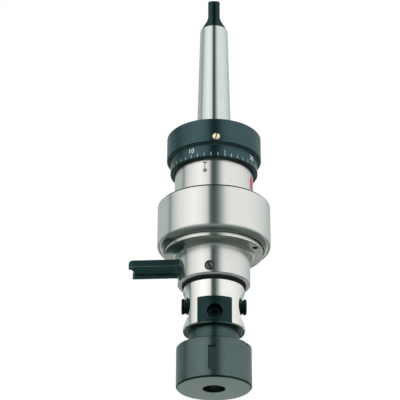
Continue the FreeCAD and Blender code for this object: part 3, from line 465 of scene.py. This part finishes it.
# Black oxide over turned steel: a thin dark skin that still mirrors like metal. Between the two rings, where
# nothing rubs it, the oxide has stayed matt.
black_ring = metal_zones(
    "black oxide on turned steel",
    {"colour": "4a6367", "shade": "3f5559", "roughness": 0.34, "lines": 0.2, "stretch": 0.6, "wear": 0.25},
    (ZONES["gap between the rings"],
     {"colour": "43605f", "shade": "385250", "roughness": 0.5, "stretch": 0.0, "bare": 0.4}))
# Grey oxide of the nut: the same treatment, lighter. Its lower face is worn bright by the bench, and its
# index notch is coloured nearly black.
grey_turned = metal_zones(
    "grey oxide on turned steel",
    {"colour": "6c7d7b", "shade": "5c6d6b", "roughness": 0.32, "lines": 0.25, "stretch": 0.7, "wear": 0.3},
    (ZONES["nut's lower face"],
     {"colour": "ccdcd8", "shade": "c0d0cc", "roughness": 0.3, "lines": 0.1, "stretch": 0.0}),
    (ZONES["nut's notch"], {"colour": "10181a", "shade": "0b1213", "roughness": 0.5}))
# Black oxide on small milled pieces: darker, no turning lines round the main axis.
black_milled = metal("black oxide on milled steel", "2c4142", "233536", 0.36, 0.2,
                     along="X", stretch=0.0, wear=0.25)
# The stop arm is cast and blackened, so part of what it shows is its own matt grey-green skin.
# Its rubbed edges are set wide and pale: partly wear, and partly painted highlights along the arm's edges.
black_cast = metal("black oxide on the cast arm", "2f4949", "253c3c", 0.36, 0.25,
                   along="X", stretch=0.0, wear=0.6, worn="b9c2be", bare=0.85, glance="c0e8e5")
# The collar over the nut: black oxide that has worn greenish grey.
green_turned = metal("worn oxide on the collar", "576c69", "4a5e5b", 0.34, 0.2, stretch=0.6, wear=0.3)
# The set screw in the neck has lost most of its oxide, apart from its slot.
bare_screw = metal_zones(
    "rubbed steel set screw",
    {"colour": "84908c", "shade": "646f6b", "roughness": 0.42, "lines": 0.3, "along": "X", "stretch": 0.0},
    (ZONES["set screw's slot"], {"colour": "141b1b", "shade": "0e1414", "roughness": 0.5}))
# Hardened inner parts: gears, rings and balls.
hard_steel = metal("hardened ground steel", "b9bdbd", "a8adad", 0.22, 0.15, stretch=0.2)
# Spring steel, oil blackened.
spring_steel = metal("oiled spring steel", "5b5f60", "4c5051", 0.35, 0.1, stretch=0.0)
# Turned brass of the bearing's cage and of the lock screw's plain solid.
brass = metal("turned brass", "f0d9a4", "dfbf80", 0.2, 0.1, stretch=0.0)
# The lock screw's domed head is the same brass, coloured pale and half matt: a painted sheen that keeps it
# bright where it mirrors the dark room. Its slot is darker.
brass_painted_sheen = metal_zones(
    "brass with painted sheen",
    {"colour": "fff2d2", "shade": "f8e3b6", "roughness": 0.3, "stretch": 0.0, "bare": 0.5},
    (ZONES["lock screw's slot"], {"colour": "8a6a3c", "shade": "6e532d", "roughness": 0.4, "stretch": 0.0}))
# Cast bronze of the neck's bush.
bronze = metal("bored bronze", "b58a55", "9c7342", 0.3, 0.2)
print("metals:", len(bpy.data.materials) - 1, "and the floor's paper")


# %% [markdown]
# The seal is the one soft piece that shows. Rubber doesn't mirror, so it stays nearly black beside the
# steel. Its colour turns a lighter grey towards its top, where it meets the neck.

# %% Seal rubber
RUBBER_TONES = ("040b0b", "0b1615")
RUBBER_GRAIN = 1200.0    # grains in a metre
RUBBER_DEPTH = 0.03 * MM
# The seal's colour turns to this lighter grey towards its top, between these two levels.
SEAL_TOP_TONE = "3a4442"
SEAL_TOP_FROM = 53.6
SEAL_TOP_TO = 54.4


def grained(tree, place, pitch, dark, light):
    """Fine grain, and a colour that changes with it between a dark and a light one."""
    noise = add_node(tree, "ShaderNodeTexNoise", None, {"Vector": place, "Scale": pitch, "Detail": 3.0})
    grain = noise.outputs["Fac"]
    return grain, blend(tree, grain, srgb(dark), srgb(light))


def rubber():
    """Moulded nitrile rubber: nearly black, no mirror, faint grey bloom, and a lighter grey towards its top,
    where it meets the neck.
    """
    material, tree = new_tree("moulded nitrile rubber")
    place = object_place(tree)
    grain, tone = grained(tree, place, RUBBER_GRAIN, *RUBBER_TONES)
    height = add_node(tree, "ShaderNodeSeparateXYZ", None, {0: place}).outputs[2]
    skin = blend(tree, ranged(tree, height, SEAL_TOP_FROM * MM, SEAL_TOP_TO * MM), tone, srgb(SEAL_TOP_TONE))
    bump = add_node(tree, "ShaderNodeBump", None,
                    {"Height": grain, "Strength": 0.2, "Distance": RUBBER_DEPTH})
    shader = add_node(tree, "ShaderNodeBsdfPrincipled", None,
                      {"Base Color": skin, "Roughness": 0.75, "Specular IOR Level": 0.3,
                       "Normal": bump.outputs[0]})
    surface_out(tree, shader.outputs[0])
    return material


seal_rubber = rubber()
print("seal:", seal_rubber.name)


# %% [markdown]
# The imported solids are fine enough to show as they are, so each one keeps its mesh and only takes a
# finish. The list below reads like a parts list with the treatment that each part gets. A piece that isn't
# in it, such as a gear or a ball, is plain hardened steel.

# %% Finishes of the solids
FINISHES = {
    "morse_shank": ground_taper, "drive_sleeve": satin_steel, "housing": satin_shell,
    "flange_cover": satin_neck, "spindle": bright_steel, "torque_ring": black_ring,
    "scale_ring": black_ring, "collet_nose": green_turned, "collet_nut": grey_turned,
    # The screw seats are black rings round the clamp screws: a painted shadow ring, standing for the shade
    # and the screws' reflection there.
    "stop_arm": black_cast, "arm_lock_screw": bare_screw, "screw_seats": black_milled,
    "jaw_block_front": black_milled, "jaw_block_back": black_milled, "nose_screws": black_milled,
    "ring_lock_screw": brass, "bearing_cage": brass, "spindle_bush": bronze, "dust_seal": seal_rubber,
    "disc_springs": spring_steel, "centring_spring": spring_steel,
}
for name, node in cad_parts.items():
    finish = black_milled if name.startswith("clamp_screw") else FINISHES.get(name, hard_steel)
    node.data.materials.clear()
    node.data.materials.append(finish)
print("solids with a finish:", len(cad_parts))


# %% [markdown]
# The white scale runs round the lower black ring: forty divisions, so one every 9 degrees. Geometry Nodes
# places them, because they only repeat: forty points on a circle each carry one thin bar, and the bar
# halfway between two numbers is longer. They stand 0.02 mm proud, the thickness of the paint, and sink as
# far into the ring.

# %% Scale divisions
# Here and in the cells below, radii, levels and sizes are in millimetres, and angles in degrees.
SCALE_R = 22.7
SCALE_ZERO = -113.8
DIVISIONS = 40
PER_NUMBER = 10.0        # divisions from one number to the next
LONG_ONE = 5.0           # the one of them that is drawn long
TICK_W = 0.17
TICK_LOW = 117.1
TICK_HIGH = 118.9
TICK_LONG = 120.3
PAINT = 0.02
PAINT_GRAIN = 900.0      # grains in a metre
PAINT_ROUGHNESS = 0.55


def painted(name, dark, light):
    """Flat enamel that was wiped into an engraving."""
    material, tree = new_tree(name)
    tone = grained(tree, object_place(tree), PAINT_GRAIN, dark, light)[1]
    shader = add_node(tree, "ShaderNodeBsdfPrincipled", None,
                      {"Base Color": tone, "Roughness": PAINT_ROUGHNESS})
    surface_out(tree, shader.outputs[0])
    return material


def node_group(name, inputs):
    """A Geometry Nodes group with named inputs. Returns the group, its input node and its output node."""
    group = bpy.data.node_groups.new(name, "GeometryNodeTree")
    group.interface.new_socket("Geometry", in_out="OUTPUT", socket_type="NodeSocketGeometry")
    for label, kind in inputs:
        group.interface.new_socket(label, in_out="INPUT", socket_type="NodeSocket" + kind)
    return group, add_node(group, "NodeGroupInput"), add_node(group, "NodeGroupOutput")


def built(group, values, name):
    """The mesh that a node group makes from its inputs, as a plain object with no modifier."""
    thing = placed(name, bpy.data.meshes.new(name))
    modifier = thing.modifiers.new("nodes", "NODES")
    modifier.node_group = group
    for item in group.interface.items_tree:
        if item.in_out == "INPUT":
            modifier[item.identifier] = values[item.name]
    settle(thing)
    thing.data.name = name
    return thing


def settle(thing):
    """Keeps what an object's modifiers make of it as its plain mesh."""
    seen = bpy.context.evaluated_depsgraph_get()
    seen.update()
    mesh = bpy.data.meshes.new_from_object(thing.evaluated_get(seen))
    thing.modifiers.clear()
    thing.data = mesh


def scale_group():
    """Points on a circle, each with one bar on a common foot. One bar in each ten is longer."""
    group, given, out = node_group("scale divisions", [
        ("Count", "Int"), ("Radius", "Float"), ("Zero", "Float"), ("Width", "Float"), ("Low", "Float"),
        ("Short", "Float"), ("Long", "Float"), ("Paint", "Float"), ("Material", "Material")])
    dots = add_node(group, "GeometryNodePoints", None, {"Count": given.outputs["Count"]})
    index = add_node(group, "GeometryNodeInputIndex").outputs[0]
    is_long = add_node(group, "FunctionNodeCompare", {"operation": "EQUAL"},
                       {"A": maths(group, "MODULO", index, PER_NUMBER), "B": LONG_ONE, "Epsilon": 0.1})
    high = add_node(group, "GeometryNodeSwitch", {"input_type": "FLOAT"},
                    {0: is_long.outputs[0], 1: given.outputs["Short"], 2: given.outputs["Long"]})
    tall = maths(group, "SUBTRACT", high.outputs[0], given.outputs["Low"])
    middle = maths(group, "MULTIPLY_ADD", tall, 0.5, given.outputs["Low"])
    step = maths(group, "DIVIDE", 2 * math.pi, given.outputs["Count"])
    turn = maths(group, "MULTIPLY_ADD", index, step, given.outputs["Zero"])
    right = maths(group, "MULTIPLY", maths(group, "SINE", turn), given.outputs["Radius"])
    front = maths(group, "MULTIPLY", maths(group, "COSINE", turn), given.outputs["Radius"])
    place = add_node(group, "ShaderNodeCombineXYZ", None,
                     {0: right, 1: maths(group, "MULTIPLY", front, -1.0), 2: middle})
    put = add_node(group, "GeometryNodeSetPosition", None,
                   {"Geometry": dots.outputs[0], "Position": place.outputs[0]})
    bar = add_node(group, "GeometryNodeMeshCube", None, {"Size": (1.0, 1.0, 1.0)})
    spin = add_node(group, "ShaderNodeCombineXYZ", None, {2: turn})
    size = add_node(group, "ShaderNodeCombineXYZ", None,
                    {0: given.outputs["Width"], 1: given.outputs["Paint"], 2: tall})
    many = add_node(group, "GeometryNodeInstanceOnPoints", None,
                    {"Points": put.outputs[0], "Instance": bar.outputs["Mesh"], "Rotation": spin.outputs[0],
                     "Scale": size.outputs[0]})
    real = add_node(group, "GeometryNodeRealizeInstances", None, {0: many.outputs[0]})
    coat = add_node(group, "GeometryNodeSetMaterial", None,
                    {"Geometry": real.outputs[0], "Material": given.outputs["Material"]})
    group.links.new(coat.outputs[0], out.inputs[0])
    return group


white_paint = painted("white scale enamel", "c3cdcc", "e3e9e8")
red_paint = painted("red mark enamel", "b53a3f", "cb4a4d")
divisions = built(scale_group(), {
    "Count": DIVISIONS, "Radius": SCALE_R * MM, "Zero": math.radians(SCALE_ZERO), "Width": TICK_W * MM,
    "Low": TICK_LOW * MM, "Short": TICK_HIGH * MM, "Long": TICK_LONG * MM, "Paint": 2 * PAINT * MM,
    "Material": white_paint}, "scale_divisions")
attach(divisions, "torque_ring")
print("divisions:", len(divisions.data.vertices) // 8)


# %% [markdown]
# The numbers stand over every tenth division. They are drawn with Blender's own font, made into flat
# meshes, and bent round the ring: a letter's x runs along the circle and its y runs up the axis.

# %% Scale numbers
DIGIT_H = 2.5
DIGIT_LOW = 119.8
DIGIT_CURVE = 4          # straight pieces in each curve of a letter
NUMBERS = ("0", "10", "20", "30")


def text_mesh(text, height):
    """The outline of a text as a flat mesh, centred on x = 0, with its foot on y = 0."""
    curve = bpy.data.curves.new("number " + text, "FONT")
    curve.body = text
    curve.align_x = "CENTER"
    curve.resolution_u = DIGIT_CURVE
    thing = placed("number " + text, curve)
    mesh = bpy.data.meshes.new_from_object(thing.evaluated_get(bpy.context.evaluated_depsgraph_get()))
    bpy.data.objects.remove(thing)
    low, high = min(v.co.y for v in mesh.vertices), max(v.co.y for v in mesh.vertices)
    size = height / (high - low)
    for v in mesh.vertices:
        v.co = Vector((v.co.x * size, (v.co.y - low) * size, 0.0))
    return mesh


def wrapped(mesh, radius, angle, low):
    """Bends a flat drawing in millimetres round the main axis. Angles are in degrees from the front."""
    for v in mesh.vertices:
        turn = math.radians(angle) + v.co.x / radius
        v.co = Vector((math.sin(turn) * radius, -math.cos(turn) * radius, low + v.co.y)) * MM


def joined(meshes, name, material):
    """Several meshes as one object with one material."""
    build = bmesh.new()
    for mesh in meshes:
        build.from_mesh(mesh)
        bpy.data.meshes.remove(mesh)
    whole = bpy.data.meshes.new(name)
    build.to_mesh(whole)
    build.free()
    whole.materials.append(material)
    return placed(name, whole)


def scale_numbers():
    """The numbers, spread evenly round the ring from its zero, as one object."""
    meshes = []
    for k, text in enumerate(NUMBERS):
        mesh = text_mesh(text, DIGIT_H)
        wrapped(mesh, SCALE_R + PAINT, SCALE_ZERO + 360.0 / len(NUMBERS) * k, DIGIT_LOW)
        meshes.append(mesh)
    return joined(meshes, "scale_numbers", white_paint)


numbers = scale_numbers()
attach(numbers, "torque_ring")
print("number vertices:", len(numbers.data.vertices))


# %% [markdown]
# The sleeve below the scale carries three marks: a black index line that the scale is read against, a red
# arrow further round, and a short scribed line between them. They are drawn as flat shapes in millimetres
# and bent round the sleeve.

# %% Sleeve marks
SLEEVE_R = 20.35
INDEX_ANGLE = -6.1
INDEX_LOW = 110.0
ARROW_ANGLE = 78.5
ARROW_LOW = 105.4
ARROW_EDGE = 0.05        # height of the arrow's head at its two sides
SCRIBE_ANGLE = 31.5
SCRIBE_LOW = 105.2


def flat_mesh(name, loops):
    """Flat faces from loops of (x, y) points in millimetres."""
    mesh = bpy.data.meshes.new(name)
    points, faces = [], []
    for loop in loops:
        faces.append(tuple(range(len(points), len(points) + len(loop))))
        points += [(x, y, 0.0) for x, y in loop]
    mesh.from_pydata(points, [], faces)
    return mesh


def bar(x0, x1, y0, y1, steps=6):
    """A rectangle cut into narrow strips, so that it can bend round a cylinder."""
    xs = [x0 + (x1 - x0) * k / steps for k in range(steps + 1)]
    return [[(a, y0), (b, y0), (b, y1), (a, y1)] for a, b in zip(xs, xs[1:])]


def arrow_head(half, y0, y1, steps=10):
    """A triangle that points up, cut into narrow strips."""
    xs = [half * (2.0 * k / steps - 1.0) for k in range(steps + 1)]
    tops = [y0 + ARROW_EDGE + (y1 - y0) * (1.0 - abs(x) / half) for x in xs]
    return [[(a, y0), (b, y0), (b, b_top), (a, a_top)]
            for a, b, a_top, b_top in zip(xs, xs[1:], tops, tops[1:])]


def round_ring(x, y, r_in, r_out, steps=24):
    """A flat ring as quads."""
    turns = [2 * math.pi * k / steps for k in range(steps + 1)]
    inner, outer = [[(x + r * math.cos(a), y + r * math.sin(a)) for a in turns] for r in (r_in, r_out)]
    return [list(quad) for quad in zip(inner, outer, outer[1:], inner[1:])]


def sleeve_mark(name, loops, angle, low, material):
    """A flat drawing bent round the sleeve, with its foot at a level."""
    mesh = flat_mesh(name, loops)
    wrapped(mesh, SLEEVE_R + PAINT, angle, low)
    thing = joined([mesh], name, material)
    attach(thing, "drive")
    return thing


# The drawings themselves: x runs round the sleeve and y runs up from the mark's foot, in millimetres.
INDEX_SHAPE = bar(-1.1, 1.1, 4.2, 4.7) + bar(-0.2, 0.2, 1.1, 4.2, 1) + round_ring(0.0, 0.0, 0.35, 1.0)
ARROW_SHAPE = arrow_head(2.6, 4.0, 8.6) + bar(-1.8, 1.8, 0.0, 4.0, 8)
SCRIBE_SHAPE = bar(-0.08, 0.08, 0.0, 0.9, 1)
black_paint = painted("black index enamel", "161b1c", "23292a")
index_line = sleeve_mark("index_line", INDEX_SHAPE, INDEX_ANGLE, INDEX_LOW, black_paint)
red_arrow = sleeve_mark("red_arrow", ARROW_SHAPE, ARROW_ANGLE, ARROW_LOW, red_paint)
scribed_mark = sleeve_mark("scribed_mark", SCRIBE_SHAPE, SCRIBE_ANGLE, SCRIBE_LOW, black_paint)
print("marks:", index_line.name, red_arrow.name, scribed_mark.name)


# %% [markdown]
# The brass screw that locks the scale is small, but it is the brightest spot of the black ring. Its head is
# a turned dome with one slot. A profile spun round the screw's own axis gives the dome, and a Boolean with
# a thin block cuts the slot, as a slitting saw does.

# %% Brass lock screw
LOCK_ANGLE = 9.7
LOCK_Z = 126.9
# The screw's radius and its distance from the main axis.
LOCK_PROFILE = ((0.0, 20.7), (1.7, 20.7), (1.7, 23.4), (1.95, 23.5), (1.95, 24.5), (1.86, 24.85),
                (1.6, 25.15), (1.15, 25.4), (0.6, 25.53), (0.0, 25.57))
LOCK_SLOT_HALF = 0.27
LOCK_SLOT_FLOOR = 24.5
LOCK_SLOT_OUT = 26.0     # the cutting block reaches past the dome, here and along the slot
LOCK_SLOT_REACH = 3.0
LOCK_SLOT_LEAN = 12.0
WELD = 1e-7              # points closer than this, in metres, become one


def object_from(build, name):
    """A closed solid from what a bmesh holds."""
    mesh = bpy.data.meshes.new(name)
    bmesh.ops.remove_doubles(build, verts=build.verts, dist=WELD)
    bmesh.ops.recalc_face_normals(build, faces=build.faces)
    build.to_mesh(mesh)
    build.free()
    return placed(name, mesh)


def spun(name, profile, steps=48):
    """A solid turned round -Y from (radius, distance) points in millimetres."""
    build = bmesh.new()
    line = [build.verts.new((r * MM, -d * MM, 0.0)) for r, d in profile]
    edges = [build.edges.new(pair) for pair in zip(line, line[1:])]
    bmesh.ops.spin(build, geom=line + edges, cent=(0, 0, 0), axis=(0, 1, 0), angle=2 * math.pi, steps=steps)
    return object_from(build, name)


def block(name, half_x, near, far, half_z):
    """A block on the -Y side, between two distances from the main axis in millimetres."""
    build = bmesh.new()
    bmesh.ops.create_cube(build, size=1.0)
    size = Vector((2 * half_x, far - near, 2 * half_z)) * MM
    for v in build.verts:
        v.co = Vector((v.co.x * size.x, v.co.y * size.y - (near + far) / 2 * MM, v.co.z * size.z))
    return object_from(build, name)


def cut(thing, cutter):
    """Takes one object out of another and keeps the result as a plain mesh."""
    modifier = thing.modifiers.new("cut", "BOOLEAN")
    modifier.operation = "DIFFERENCE"
    modifier.solver = "EXACT"
    modifier.object = cutter
    settle(thing)
    bpy.data.objects.remove(cutter)


def brass_screw():
    """The screw with its domed head, which stands for the plain solid."""
    screw = spun("lock_screw_dome", LOCK_PROFILE)
    slot = block("slot", LOCK_SLOT_HALF, LOCK_SLOT_FLOOR, LOCK_SLOT_OUT, LOCK_SLOT_REACH)
    slot.data.transform(Matrix.Rotation(math.radians(LOCK_SLOT_LEAN), 4, "Y"))
    cut(screw, slot)
    screw.data.transform(Matrix.Rotation(math.radians(LOCK_ANGLE), 4, "Z"))
    screw.data.transform(Matrix.Translation((0.0, 0.0, LOCK_Z * MM)))
    screw.data.materials.clear()
    screw.data.materials.append(brass_painted_sheen)
    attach(screw, "torque_ring")
    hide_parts("ring_lock_screw")
    return screw


lock_screw = brass_screw()
print("lock screw faces:", len(lock_screw.data.polygons))


# %% [markdown]
# Inside, two springs give way when the ring or the spindle moves: a stack of conical washers under the
# pressure ring, and a wire coil over the spindle's collar. A welded copy of each one's solid stands for it.


def spring(name, node):
    """A welded copy of a spring's solid, which stands in its place."""
    welded = bmesh.new()
    welded.from_mesh(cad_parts[node].data)
    bmesh.ops.remove_doubles(welded, verts=welded.verts, dist=WELD)
    mesh = bpy.data.meshes.new(name)
    welded.to_mesh(mesh)
    welded.free()
    mesh.materials.append(spring_steel)
    thing = placed(name, mesh)
    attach(thing, "drive")
    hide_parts(node)
    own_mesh(thing)
    return thing


washer_stack = spring("washer_stack", "disc_springs")
spring_coil = spring("spring_coil", "centring_spring")
print("spring faces:", len(washer_stack.data.polygons), len(spring_coil.data.polygons))
